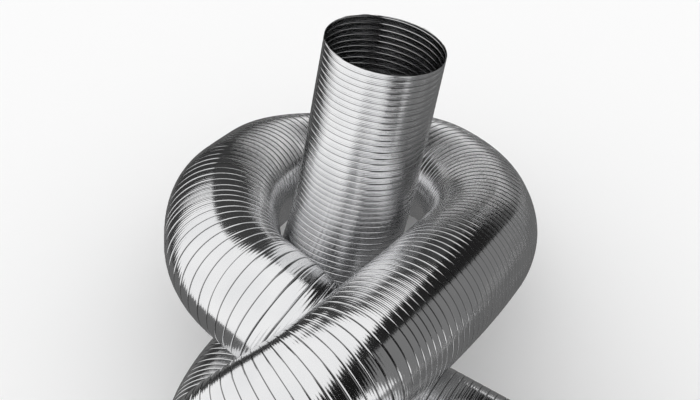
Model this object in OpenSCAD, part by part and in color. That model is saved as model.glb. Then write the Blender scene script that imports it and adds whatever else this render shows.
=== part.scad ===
/* [Duct] */
// Bore, which slips over a 100 mm spigot
bore_d = 101; // [80:1:160]
// Depth of the corrugated wall, from the bore to the crests
wall = 2.2; // [1.5:0.1:4]
// Length of the duct along its middle, as it is sold
duct_length = 2440; // [1800:10:3600]

/* [Seams] */
// Length of duct that one folded seam takes up
seam_w = 3; // [2:0.5:5]
// How far a folded seam stands proud of the crests
seam_h = 0.3; // [0.1:0.1:0.5]

/* [Hidden] */
$fn = 96;
outer_d = bore_d + 2 * wall;

// Corners of the knot for a duct of KNOT_D over its seams: to the right, to the back, and how high the
// duct is lifted there above where it would lie on the floor. The first is the upper open end. From there
// the duct goes down through the ring, round the front lobe, over the crossing, round the ring by the
// right, the back and the left, and out under itself. The last corner only says where the tail points.
KNOT_D = 106;
// The point of the floor under the middle of the knot and its tail
MIDDLE = [-6.7, 11.4, 0];
KNOT = [
    [-170, 230, 280], [-200, 195, 105], [-235, 150, 10],
    [-300, 85, -4], [-320, -25, 20], [-325, -70, 85], [-285, -80, 155],
    [-215, -50, 185], [-130, 65, 155],
    [-75, 190, 85], [-80, 290, 40], [-125, 365, 10], [-210, 380, -4], [-280, 345, 25],
    [-320, 220, 95], [-310, 130, 110],
    [-260, 80, 110], [-190, 40, 55],
    [170, -165, 0], [320, -375, 0],
];
LAST = len(KNOT) - 1;

// A thicker duct makes a bigger knot, so that its strands still lie against each other
knot_scale = (outer_d + 2 * seam_h) / KNOT_D;
corner = [for (k = KNOT) (k - MIDDLE) * knot_scale + [0, 0, outer_d / 2 + seam_h]];

// The wall stops this far from a seam's middle, so that only the seam joins it to the next piece
seam_gap = seam_w / 4;

function unit(v) = v / norm(v);
function leg(i) = corner[i + 1] - corner[i];
function way(i) = unit(leg(i));

// Each corner is rounded as widely as the middle of its shorter leg allows
function reach(i) = i == 0 ? 0
    : i == LAST ? 0
    : min(norm(leg(i - 1)), norm(leg(i))) / 2 - seam_gap;
function turn(i) = acos(way(i - 1) * way(i));
function bend_r(i) = reach(i) / tan(turn(i) / 2);
function bend_len(i) = bend_r(i) * turn(i) * PI / 180;
function gap_between_bends(i) = norm(leg(i)) - reach(i) - reach(i + 1);

// The duct is laid along the route until its length is used up: laid(i) is used before leg i runs straight
function laid(i) = i == 0 ? 0 : laid(i - 1) + gap_between_bends(i - 1) + bend_len(i);
function run_len(i) =
    let (left = max(0, duct_length - laid(i)))
    i == LAST - 1 ? left : min(left, gap_between_bends(i));
function bent_len(i) = max(0, min(bend_len(i), bend_len(i) + duct_length - laid(i)));

// Puts a piece's Z along a direction and its X along another at right angles to it
module aim(at, along, side) {
    across = cross(along, side);
    multmatrix([
        [side.x, across.x, along.x, at.x],
        [side.y, across.y, along.y, at.y],
        [side.z, across.z, along.z, at.z],
        [0, 0, 0, 1],
    ])
        children();
}

module on_leg(i, from_corner) {
    level_side = unit(cross(way(i), [0, 0, 1]));
    aim(corner[i] + way(i) * from_corner, way(i), level_side) children();
}

module ring(r_in, r_out, length) {
    rotate_extrude()
        translate([r_in, 0])
            square([r_out - r_in, length]);
}

// A straight run of wall, which keeps clear of the bends at its ends
module run(i) {
    start_gap = i == 0 ? 0 : seam_gap;
    end_gap = run_len(i) < gap_between_bends(i) || i == LAST - 1 ? 0 : seam_gap;
    length = run_len(i) - start_gap - end_gap;
    if (length > seam_w)
        on_leg(i, reach(i) + start_gap) ring(bore_d / 2, outer_d / 2, length);
}

// A bend of wall, turned about its own centre
module bend(i) {
    towards_centre = unit(way(i) - way(i - 1) * turn_cos(i));
    start = corner[i] - way(i - 1) * reach(i);
    angle = turn(i) * bent_len(i) / bend_len(i);
    if (bent_len(i) > seam_w)
        aim(start + towards_centre * bend_r(i), unit(cross(way(i - 1), way(i))), -towards_centre)
            rotate_extrude(angle = angle)
                translate([bend_r(i), 0])
                    difference() {
                        circle(d = outer_d);
                        circle(d = bore_d);
                    }
}
function turn_cos(i) = way(i - 1) * way(i);

// The folded seam that joins two pieces of wall, with its middle at the given place on leg i. It laps
// the outer half of the wall, so that the bore stays clear.
module seam(i, from_corner, length = seam_w) {
    on_leg(i, from_corner - length / 2)
        ring(bore_d / 2 + wall / 2, outer_d / 2 + seam_h, length);
}

// Seams stand at both ends of a straight run, or as one where two bends nearly meet
module seams(i) {
    between = gap_between_bends(i);
    if (between < 2 * seam_w) {
        if (run_len(i) == between) seam(i, reach(i) + between / 2, between + seam_w);
    } else {
        if (i > 0 && run_len(i) > seam_w) seam(i, reach(i));
        if (i < LAST - 1 && run_len(i) == between) seam(i, reach(i) + between);
    }
}

module duct() {
    color([0.78, 0.78, 0.79])
        for (i = [0 : LAST - 1]) {
            run(i);
            if (i > 0) bend(i);
            seams(i);
        }
}

duct();
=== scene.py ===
import bpy
import math
import random
import numpy as np
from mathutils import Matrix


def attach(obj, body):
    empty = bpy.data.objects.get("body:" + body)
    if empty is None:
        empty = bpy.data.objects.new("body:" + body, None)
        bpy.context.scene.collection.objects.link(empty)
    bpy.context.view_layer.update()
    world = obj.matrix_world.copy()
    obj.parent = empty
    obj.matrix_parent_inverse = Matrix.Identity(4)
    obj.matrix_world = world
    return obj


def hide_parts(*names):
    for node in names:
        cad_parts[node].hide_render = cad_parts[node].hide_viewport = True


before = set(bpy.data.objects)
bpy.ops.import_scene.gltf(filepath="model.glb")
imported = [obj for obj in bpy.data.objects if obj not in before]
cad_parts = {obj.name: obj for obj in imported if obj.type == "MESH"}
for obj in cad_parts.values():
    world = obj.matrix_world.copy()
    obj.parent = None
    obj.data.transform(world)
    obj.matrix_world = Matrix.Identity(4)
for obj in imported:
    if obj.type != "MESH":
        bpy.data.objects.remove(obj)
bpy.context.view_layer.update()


# The route of the duct
# Semi-rigid duct stays as it is bent by hand, here into an overhand knot. Its middle runs straight between
# these corners and is rounded at each as widely as the middle of the shorter leg beside it allows.
knot = np.array([
    [-170, 230, 280], [-200, 195, 105], [-235, 150, 10],
    [-300, 85, -4], [-320, -25, 20], [-325, -70, 85], [-285, -80, 155],
    [-215, -50, 185], [-130, 65, 155],
    [-75, 190, 85], [-80, 290, 40], [-125, 365, 10], [-210, 380, -4], [-280, 345, 25],
    [-320, 220, 95], [-310, 130, 110],
    [-260, 80, 110], [-190, 40, 55],
    [170, -165, 0], [320, -375, 0],
]) / 1000
knot_middle = np.array([-0.0067, 0.0114, 0])
crest_radius = 0.0527
seam_height = 0.0003
corners = knot - knot_middle + np.array([0, 0, crest_radius + seam_height])
duct_length = 2.44
bend_gap = 0.00075


def unit(v):
    return v / np.linalg.norm(v)


def stretches_of(corners):
    """Straight runs and round bends in turn: length, start, direction, axis of the bend and its radius."""
    found = []
    start = corners[0]
    for before, corner, after in zip(corners, corners[1:], corners[2:]):
        into = unit(corner - before)
        out = unit(after - corner)
        reach = min(np.linalg.norm(corner - before), np.linalg.norm(after - corner)) / 2 - bend_gap
        turn = math.acos(into @ out)
        bend_start = corner - into * reach
        radius = reach / math.tan(turn / 2)
        found.append((np.linalg.norm(bend_start - start), start, into, None, 0))
        found.append((radius * turn, bend_start, into, unit(np.cross(into, out)), radius))
        start = corner + out * reach
    found.append((10, start, out, None, 0))
    return found


def turned(v, axis, angle):
    """A vector turned about an axis, once for each angle."""
    c = np.cos(angle)[:, None]
    s = np.sin(angle)[:, None]
    return v * c + np.cross(axis, v) * s + axis * (axis @ v) * (1 - c)


def along_route(distances):
    """Places on the duct's middle, its direction there and a side that never twists round it."""
    places = np.empty((len(distances), 3))
    directions = np.empty_like(places)
    sides = np.empty_like(places)
    used = 0
    side = unit(np.cross(corners[1] - corners[0], [1, 0, 0]))
    for length, start, way, axis, radius in stretches_of(corners):
        here = (distances >= used) & (distances < used + length)
        done = distances[here] - used
        if axis is None:
            places[here] = start + done[:, None] * way
            directions[here] = way
            sides[here] = side
        else:
            towards = np.cross(axis, way)
            angle = done / radius
            places[here] = start + radius * (
                np.sin(angle)[:, None] * way + (1 - np.cos(angle))[:, None] * towards)
            directions[here] = turned(way, axis, angle)
            sides[here] = turned(side, axis, angle)
            side = turned(side, axis, np.array([length / radius]))[0]
        used += length
    return places, directions, sides


# The winding of the strip
# The duct is one strip of aluminium wound in a helix, a turn every 5.5 mm where it is pushed together and
# every 10 mm where it is drawn out. Bent by hand, no two turns are quite as wide.
turn_widths = [
    (0, 5.6), (110, 6.3), (230, 6.4), (400, 7), (620, 6.8), (700, 7.2), (770, 7.4),
    (830, 8.2), (890, 7.7), (950, 9.4), (1010, 10.2), (1070, 9.5), (1130, 8.8), (1300, 9.2),
    (1430, 10.5), (1490, 8.7), (1550, 7.6), (1610, 8.8), (1750, 8), (2000, 7.6), (2440, 7.6),
]
turn_places = [value / 1000 for value, width in turn_widths]
turn_sizes = [value / 1000 for place, value in turn_widths]
hand = random.Random(11)
seams = [-turn_sizes[0]]
while seams[-1] < duct_length + turn_sizes[-1]:
    width = float(np.interp(seams[-1], turn_places, turn_sizes))
    seams.append(seams[-1] + width * hand.uniform(0.88, 1.12))
steps_a_turn = 144
turns = len(seams) - 1
unclamped = np.interp(np.arange(turns * steps_a_turn + 1) / steps_a_turn, np.arange(turns + 1), seams)
places, directions, sides = along_route(np.clip(unclamped, 0, duct_length))
first_cut = float(np.interp(0, seams, np.arange(turns + 1)))
last_cut = float(np.interp(duct_length, seams, np.arange(turns + 1)))

route = bpy.data.objects.new("route", bpy.data.meshes.new("route"))
route.data.from_pydata(places.tolist(), [], [])
for label, values in {"direction": directions, "side": sides}.items():
    attribute = route.data.attributes.new(label, "FLOAT_VECTOR", "POINT")
    attribute.data.foreach_set("vector", values.astype(np.float32).ravel())
attribute = route.data.attributes.new("width", "FLOAT", "POINT")
attribute.data.foreach_set("value", np.interp(unclamped, turn_places, turn_sizes).astype(np.float32))
bpy.context.scene.collection.objects.link(route)


# The wall of the duct
# Bright aluminium strip, rolled in fine waves along its length and folded together with the turn beside it
# in a sunk seam. Its helix runs along the route, and the two ends are cut off square by hand.
strip_tree = bpy.data.node_groups.new("wound_strip", "GeometryNodeTree")
for label, kind, value in (
    ("Route", "NodeSocketObject", None),
    ("First Turn", "NodeSocketInt", 0),
    ("Turns", "NodeSocketInt", 10),
    ("First Cut", "NodeSocketFloat", first_cut),
    ("Last Cut", "NodeSocketFloat", last_cut),
    ("Cut Wander", "NodeSocketFloat", 0.25),
    ("Steps Around", "NodeSocketInt", 72),
    ("Steps Across", "NodeSocketInt", 16),
    ("Crest Radius", "NodeSocketFloat", 0.05265),
    ("Waves", "NodeSocketInt", 4),
    ("Wave Depth", "NodeSocketFloat", 0.00012),
    ("Seam Depth", "NodeSocketFloat", 0.0006),
    ("Crown", "NodeSocketFloat", 0.00018),
    ("Dent Depth", "NodeSocketFloat", 0.0004),
    ("Inside Out", "NodeSocketBool", False),
    ("Material", "NodeSocketMaterial", None),
):
    socket = strip_tree.interface.new_socket(label, in_out="INPUT", socket_type=kind)
    if value is not None:
        socket.default_value = value
strip_tree.interface.new_socket("Geometry", in_out="OUTPUT", socket_type="NodeSocketGeometry")
given = strip_tree.nodes.new("NodeGroupInput").outputs


def strip_node(kind, feeds, output=0, **settings):
    """Adds a node, sets it, feeds its inputs with sockets or values, and gives its output."""
    made = strip_tree.nodes.new(kind)
    for label, value in settings.items():
        setattr(made, label, value)
    for label, value in feeds.items():
        if isinstance(value, bpy.types.NodeSocket):
            strip_tree.links.new(value, made.inputs[label])
        else:
            made.inputs[label].default_value = value
    return made.outputs[output]


def number(operation, a, b=0.0):
    return strip_node("ShaderNodeMath", {0: a, 1: b}, operation=operation)


def vector(operation, a, b):
    label = "Scale" if operation == "SCALE" else 1
    return strip_node("ShaderNodeVectorMath", {0: a, label: b}, operation=operation)


def of_route(field, kind):
    """A value of the route at the step where a point of the strip lies."""
    return strip_node(
        "GeometryNodeSampleIndex", {"Geometry": route_points, "Value": field, "Index": step},
        data_type=kind)


def named(label, kind):
    return strip_node("GeometryNodeInputNamedAttribute", {"Name": label}, data_type=kind)


route_points = strip_node(
    "GeometryNodeObjectInfo", {"Object": given["Route"]}, "Geometry", transform_space="ORIGINAL")
flat_strip = strip_node("GeometryNodeMeshGrid", {
    "Size X": given["Turns"], "Size Y": 1.0,
    "Vertices X": number("ADD", number("MULTIPLY", given["Turns"], given["Steps Around"]), 1.0),
    "Vertices Y": number("ADD", given["Steps Across"], 1.0)})
flat_place = strip_node("GeometryNodeInputPosition", {})
split = strip_tree.nodes.new("ShaderNodeSeparateXYZ")
strip_tree.links.new(flat_place, split.inputs[0])
around = number("ADD", split.outputs["X"], number("DIVIDE", given["Turns"], 2.0))
across = number("ADD", split.outputs["Y"], 0.5)
turn = number("ADD", number("ADD", around, across), given["First Turn"])
angle = number("MULTIPLY", around, 2 * math.pi)
angle_place = strip_node("ShaderNodeCombineXYZ", {
    "X": number("COSINE", angle), "Y": number("SINE", angle), "Z": 0.0})
wander = number("MULTIPLY", given["Cut Wander"], strip_node(
    "ShaderNodeTexNoise", {"Vector": angle_place, "Scale": 2.2, "Detail": 2.0}, "Fac"))
first_edge = number("ADD", given["First Cut"], wander)
last_edge = number("SUBTRACT", given["Last Cut"], wander)
kept_turn = number("MAXIMUM", number("MINIMUM", turn, last_edge), first_edge)
cut_off = strip_node("FunctionNodeCompare", {
    "A": number("ABSOLUTE", number("SUBTRACT", turn, kept_turn)), "B": 0.00001}, operation="GREATER_THAN")
step = number("ROUND", number("MULTIPLY", kept_turn, float(steps_a_turn)))
middle = of_route(flat_place, "FLOAT_VECTOR")
direction = of_route(named("direction", "FLOAT_VECTOR"), "FLOAT_VECTOR")
side = of_route(named("side", "FLOAT_VECTOR"), "FLOAT_VECTOR")
turn_width = of_route(named("width", "FLOAT"), "FLOAT")

upright = vector("CROSS_PRODUCT", direction, side)
outward = vector(
    "ADD", vector("SCALE", side, number("COSINE", angle)), vector("SCALE", upright, number("SINE", angle)))
wave_angle = number("MULTIPLY", across, number("MULTIPLY", given["Waves"], 2 * math.pi))
wave = number("MULTIPLY", given["Wave Depth"], number("ADD", 0.5, number(
    "MULTIPLY", number("COSINE", wave_angle), 0.5)))
seam_share = 1 / 16
from_seam = number("DIVIDE", number("MINIMUM", across, number("SUBTRACT", 1.0, across)), seam_share)
seam_change = strip_node("ShaderNodeTexNoise", {"W": turn, "Scale": 0.9}, "Fac", noise_dimensions="1D")
seam_here = number("MULTIPLY", given["Seam Depth"], number("ADD", 0.5, seam_change))
groove = number("MULTIPLY", seam_here, number("MAXIMUM", 0.0, number("SUBTRACT", 1.0, from_seam)))
from_centre = number("SUBTRACT", number("MULTIPLY", across, 2.0), 1.0)
flat_width = 0.0115
narrowest_width = 0.0055
pushed = number("DIVIDE", number("SUBTRACT", flat_width, turn_width), flat_width - narrowest_width)
crown = number("MULTIPLY", number("MULTIPLY", given["Crown"], pushed), number(
    "MULTIPLY", from_centre, from_centre))
dents = strip_node(
    "ShaderNodeTexNoise", {"Vector": vector("ADD", middle, vector("SCALE", outward, 0.05)),
                           "Scale": 22.0, "Detail": 2.0}, "Fac")
dent = number("MULTIPLY", given["Dent Depth"], dents)
depth = number("ADD", number("ADD", wave, groove), number("ADD", crown, dent))
wall_place = vector("ADD", middle, vector("SCALE", outward, number(
    "SUBTRACT", given["Crest Radius"], depth)))

# Nearness to the seam is kept on the mesh as the mask for the painted seam shade in the metal
marked = strip_node("GeometryNodeStoreNamedAttribute", {
    "Geometry": flat_strip, "Name": "cut", "Value": cut_off}, data_type="BOOLEAN", domain="POINT")
seam_shade_marked = strip_node("GeometryNodeStoreNamedAttribute", {
    "Geometry": marked, "Name": "crease", "Value": number("SUBTRACT", 1.0, from_seam)},
    data_type="FLOAT", domain="POINT")
laid = strip_node("GeometryNodeSetPosition", {"Geometry": seam_shade_marked, "Position": wall_place})
trimmed = strip_node("GeometryNodeDeleteGeometry", {
    "Geometry": laid, "Selection": named("cut", "BOOLEAN")}, domain="FACE", mode="ALL")
bare = strip_node("GeometryNodeRemoveAttribute", {"Geometry": trimmed, "Name": "cut"})
joined = strip_node("GeometryNodeMergeByDistance", {"Geometry": bare, "Distance": 0.00001})
turned_over = strip_node("GeometryNodeFlipFaces", {"Mesh": joined, "Selection": given["Inside Out"]})
smooth = strip_node("GeometryNodeSetShadeSmooth", {"Geometry": turned_over, "Shade Smooth": True})
real = strip_node("GeometryNodeRealizeInstances", {"Geometry": smooth})
finished = strip_node("GeometryNodeSetMaterial", {"Geometry": real, "Material": given["Material"]})
strip_tree.links.new(finished, strip_tree.nodes.new("NodeGroupOutput").inputs["Geometry"])

aluminium = bpy.data.materials.new("aluminium")
aluminium.use_nodes = True
metal_nodes = aluminium.node_tree.nodes
metal_links = aluminium.node_tree.links
metal = metal_nodes["Principled BSDF"]
metal.inputs["Metallic"].default_value = 1
metal_place = metal_nodes.new("ShaderNodeTexCoord").outputs["Object"]


def metal_noise(scale, detail):
    """Noise laid through the metal, in features a metre."""
    noise = metal_nodes.new("ShaderNodeTexNoise")
    noise.inputs["Scale"].default_value = scale
    noise.inputs["Detail"].default_value = detail
    metal_links.new(metal_place, noise.inputs["Vector"])
    return noise.outputs["Fac"]


def metal_ramp(fac, stops):
    """Turns noise into a value or colour between these stops."""
    ramp = metal_nodes.new("ShaderNodeValToRGB")
    for element, (place, value) in zip(ramp.color_ramp.elements, stops):
        element.position = place
        element.color = (*value, 1)
    metal_links.new(fac, ramp.inputs["Fac"])
    return ramp.outputs["Color"]


# Handling leaves the bright foil a little dulled in patches, with a fine rolled grain over it, and the
# folded seams get painted shade: the base colour goes near black along each seam's crease
patches = metal_noise(28, 5)
# Painted shade: the seam mask mixes the base colour towards near black in the crease of each seam
painted_seam_shade = metal_nodes.new("ShaderNodeMix")
painted_seam_shade.data_type = "RGBA"
crease = metal_nodes.new("ShaderNodeAttribute")
crease.attribute_name = "crease"
metal_links.new(
    metal_ramp(crease.outputs["Fac"], [(0.1, (0, 0, 0)), (0.75, (1, 1, 1))]), painted_seam_shade.inputs[0])
metal_links.new(
    metal_ramp(patches, [(0.3, (0.77, 0.775, 0.785)), (0.7, (0.84, 0.84, 0.845))]), painted_seam_shade.inputs[6])
painted_seam_shade.inputs[7].default_value = (0.1, 0.1, 0.1, 1)
metal_links.new(painted_seam_shade.outputs[2], metal.inputs["Base Color"])
metal_links.new(
    metal_ramp(patches, [(0.3, (0.17, 0.17, 0.17)), (0.75, (0.11, 0.11, 0.11))]), metal.inputs["Roughness"])
grain = metal_nodes.new("ShaderNodeBump")
grain.inputs["Strength"].default_value = 0.25
grain.inputs["Distance"].default_value = 0.00012
metal_links.new(metal_noise(900, 3), grain.inputs["Height"])
metal_links.new(grain.outputs["Normal"], metal.inputs["Normal"])


def wind(name, first, count, thickness=0, **sizes):
    """One length of the wound strip, as a plain mesh that rides on the duct's body."""
    piece = bpy.data.objects.new(name, bpy.data.meshes.new(name))
    bpy.context.scene.collection.objects.link(piece)
    winding = piece.modifiers.new("winding", "NODES")
    winding.node_group = strip_tree
    values = {"Route": route, "First Turn": first, "Turns": count, "Material": aluminium} | sizes
    for socket in strip_tree.interface.items_tree:
        if socket.in_out == "INPUT":
            winding[socket.identifier] = values.get(socket.name, socket.default_value)
    if thickness:
        sheet = piece.modifiers.new("sheet", "SOLIDIFY")
        sheet.thickness = thickness
        sheet.offset = -1
    ready = piece.evaluated_get(bpy.context.evaluated_depsgraph_get())
    piece.data = bpy.data.meshes.new_from_object(ready)
    piece.modifiers.clear()
    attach(piece, "root")
    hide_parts("duct")
    return piece


end_turns = 40
lengths_between = 4
between = turns - 2 * end_turns
wind("upper_end", 0, end_turns, thickness=0.0004)
for i in range(lengths_between):
    first = end_turns + between * i // lengths_between
    last = end_turns + between * (i + 1) // lengths_between
    wind(f"wall_{i + 1}", first, last - first)
wind("inner_face", end_turns, between, **{
    "Steps Around": 24, "Steps Across": 4, "Crest Radius": 0.0522, "Waves": 0, "Inside Out": True})
wind("tail_end", turns - end_turns, end_turns, thickness=0.0004)
bpy.data.objects.remove(route)


# The stage
# A pale floor and a soft studio, seen by the metal too. Cards of white, grey and black stand close round
# the knot, out of the camera's sight, and give the bright metal its stripes.
floor = bpy.data.objects.new("floor", bpy.data.meshes.new("floor"))
floor.data.from_pydata([(-9, -9, 0), (9, -9, 0), (9, 9, 0), (-9, 9, 0)], [], [(0, 1, 2, 3)])
bpy.context.scene.collection.objects.link(floor)
paper = bpy.data.materials.new("paper")
paper.use_nodes = True
paper.node_tree.nodes["Principled BSDF"].inputs["Base Color"].default_value = (0.93, 0.93, 0.93, 1)
paper.node_tree.nodes["Principled BSDF"].inputs["Roughness"].default_value = 0.9
paper.node_tree.nodes["Principled BSDF"].inputs["Specular IOR Level"].default_value = 0
floor.data.materials.append(paper)

world = bpy.data.worlds.new("studio")
bpy.context.scene.world = world
world.use_nodes = True
world.node_tree.nodes["Background"].inputs["Color"].default_value = (1, 1, 1, 1)
world.node_tree.nodes["Background"].inputs["Strength"].default_value = 1.05

view_angle = math.radians(44)
to_camera = np.array([0, -math.sin(view_angle), math.cos(view_angle)])
to_right = np.array([1, 0, 0])
to_top = np.cross(to_camera, to_right)
knot_centre = np.array([-0.093, 0.089, 0.12])
card_distance = 0.6


def card(name, level, grid):
    """A sheet of card through rows of points, which only the shiny metal sees."""
    rows, columns = grid.shape[:2]
    faces = []
    for i in range(rows - 1):
        for j in range(columns - 1):
            k = i * columns + j
            faces.append((k, k + 1, k + columns + 1, k + columns))
    sheet = bpy.data.objects.new(name, bpy.data.meshes.new(name))
    sheet.data.from_pydata(grid.reshape(-1, 3).tolist(), [], faces)
    bpy.context.scene.collection.objects.link(sheet)
    stock = bpy.data.materials.new(name)
    stock.use_nodes = True
    stock.node_tree.nodes.clear()
    glow = stock.node_tree.nodes.new("ShaderNodeEmission")
    glow.inputs["Color"].default_value = (level, level, level, 1)
    output = stock.node_tree.nodes.new("ShaderNodeOutputMaterial")
    stock.node_tree.links.new(glow.outputs[0], output.inputs["Surface"])
    sheet.data.materials.append(stock)
    sheet.visible_camera = False
    sheet.visible_diffuse = False
    sheet.visible_shadow = False


def bent_card(name, level, off_camera, round_camera):
    """A card bent round the knot: its angles off the camera's direction and round it from the right."""
    off, turn = np.meshgrid(*(np.radians(np.linspace(*a, 13)) for a in (off_camera, round_camera)))
    off = off[..., None]
    turn = turn[..., None]
    way = to_camera * np.cos(off) + np.sin(off) * (to_right * np.cos(turn) + to_top * np.sin(turn))
    card(name, level, knot_centre + card_distance * way)


def floor_card(name, level, azimuth, reach):
    """A card on the floor: its angles to the left of the front, and its distances from the upright leg."""
    turn, out = np.meshgrid(np.radians(np.linspace(*azimuth, 13)), np.linspace(*reach, 3))
    card(name, level, np.stack([
        leg_foot[0] - out * np.sin(turn),
        leg_foot[1] - out * np.cos(turn),
        np.full_like(out, above_floor),
    ], axis=-1))


leg_foot = (-0.17, 0.19)
above_floor = 0.001
bent_card("card_black_right", 0.01, (2, 36), (-70, 68))
bent_card("card_grey_right", 0.2, (36, 120), (-20, 42))
bent_card("card_black_top_right", 0.015, (36, 125), (42, 68))
bent_card("card_white_top", 1, (2, 80), (68, 122))
bent_card("card_dark_top", 0.05, (80, 128), (68, 122))
bent_card("card_white_left", 1, (2, 102), (122, 215))
bent_card("card_dark_left", 0.04, (102, 130), (122, 215))
floor_card("card_floor_near", 0.14, (0, 360), (0, 0.55))
floor_card("card_floor_white", 1, (0, 78), (0.55, 1.6))
floor_card("card_floor_dark", 0.04, (78, 178), (0.55, 1.6))
floor_card("card_floor_black", 0.02, (-36, 0), (0.55, 1.6))
floor_card("card_floor_grey", 0.2, (-182, -36), (0.55, 1.6))

camera = bpy.data.objects.new("camera", bpy.data.cameras.new("camera"))
camera.location = (-0.1933, -0.6514, 1.0458)
camera.rotation_euler = (math.radians(44), 0, 0)
camera.data.sensor_width = 36
camera.data.lens = 68.73
bpy.context.scene.collection.objects.link(camera)
bpy.context.scene.camera = camera

bpy.context.scene.view_settings.view_transform = "Standard"
